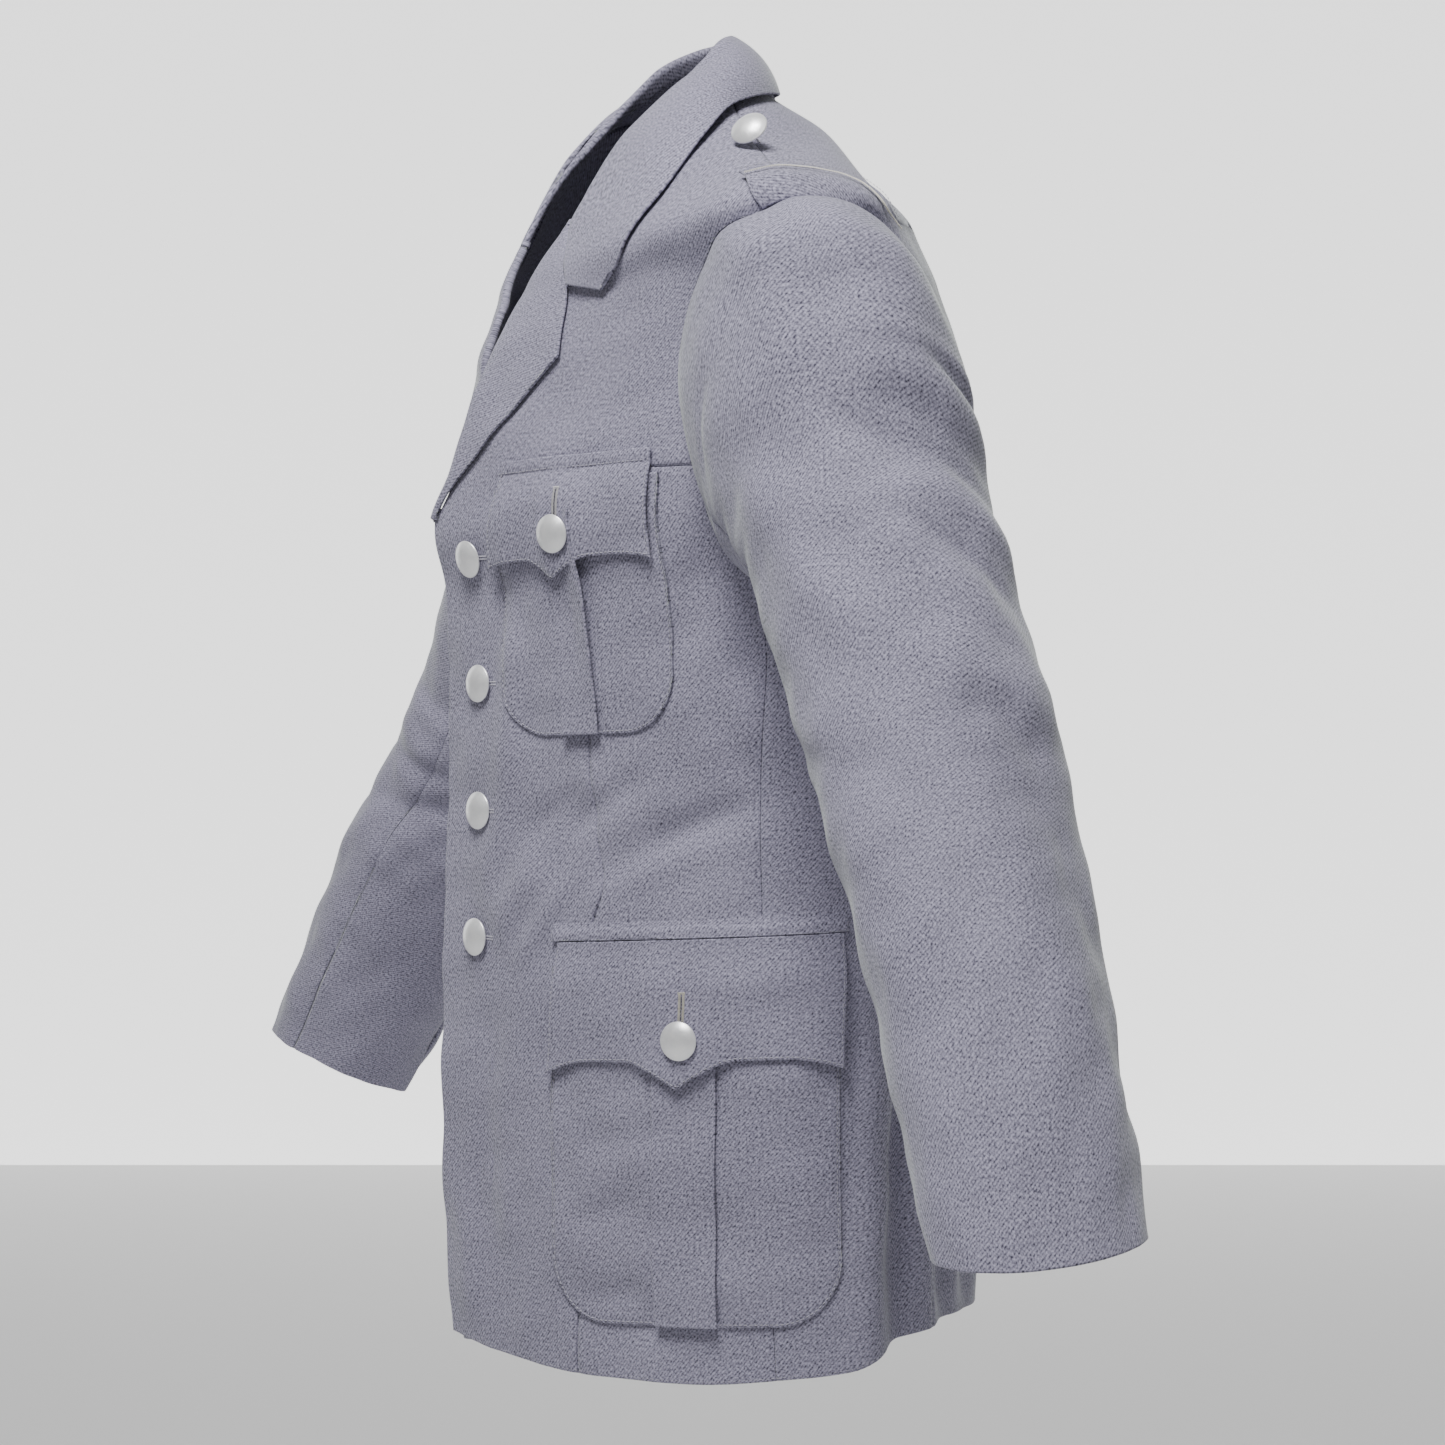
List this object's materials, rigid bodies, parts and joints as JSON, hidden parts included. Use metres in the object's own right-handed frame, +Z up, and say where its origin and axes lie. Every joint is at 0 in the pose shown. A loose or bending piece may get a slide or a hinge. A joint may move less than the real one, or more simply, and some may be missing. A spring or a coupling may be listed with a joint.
{
  "type": "army parade jacket",
  "caption": "Single-breasted uniform jacket in grey wool twill, filled out with no wearer: turned-down collar, notched lapels, flapped patch pockets, shoulder loops and domed metal buttons.",
  "frame": {"origin": "where the wearer's neck and shoulders carry the jacket: on the middle plane, level with the neck seam at the sides of the neck", "axes": "+Z up, the wearer faces -Y, the wearer's left is +X"},
  "size_m": [1.0478, 0.3374, 0.7914],
  "materials": {
    "wool_twill": "matt twill with a short nap",
    "button_metal": "satin silver"
  },
  "bodies": {
    "root": {"collar_fall": "wool_twill", "collar_stand": "wool_twill", "front_button_1": "button_metal", "front_button_2": "button_metal", "front_button_3": "button_metal", "front_button_4": "button_metal", "left_back": "wool_twill", "left_breast_button": "button_metal", "left_breast_flap": "wool_twill", "left_breast_pleat": "wool_twill", "left_breast_pocket": "wool_twill", "left_front": "wool_twill", "left_front_side": "wool_twill", "left_lapel": "wool_twill", "left_lower_button": "button_metal", "left_lower_flap": "wool_twill", "left_lower_pleat": "wool_twill", "left_lower_pocket": "wool_twill", "left_shoulder_button": "button_metal", "left_shoulder_loop": "wool_twill", "left_side_panel": "wool_twill", "left_under_sleeve": "wool_twill", "left_upper_sleeve": "wool_twill", "right_back": "wool_twill", "right_breast_button": "button_metal", "right_breast_flap": "wool_twill", "right_breast_pleat": "wool_twill", "right_breast_pocket": "wool_twill", "right_front": "wool_twill", "right_front_side": "wool_twill", "right_lapel": "wool_twill", "right_lower_button": "button_metal", "right_lower_flap": "wool_twill", "right_lower_pleat": "wool_twill", "right_lower_pocket": "wool_twill", "right_shoulder_button": "button_metal", "right_shoulder_loop": "wool_twill", "right_side_panel": "wool_twill", "right_under_sleeve": "wool_twill", "right_upper_sleeve": "wool_twill"}
  },
  "joints": []
}
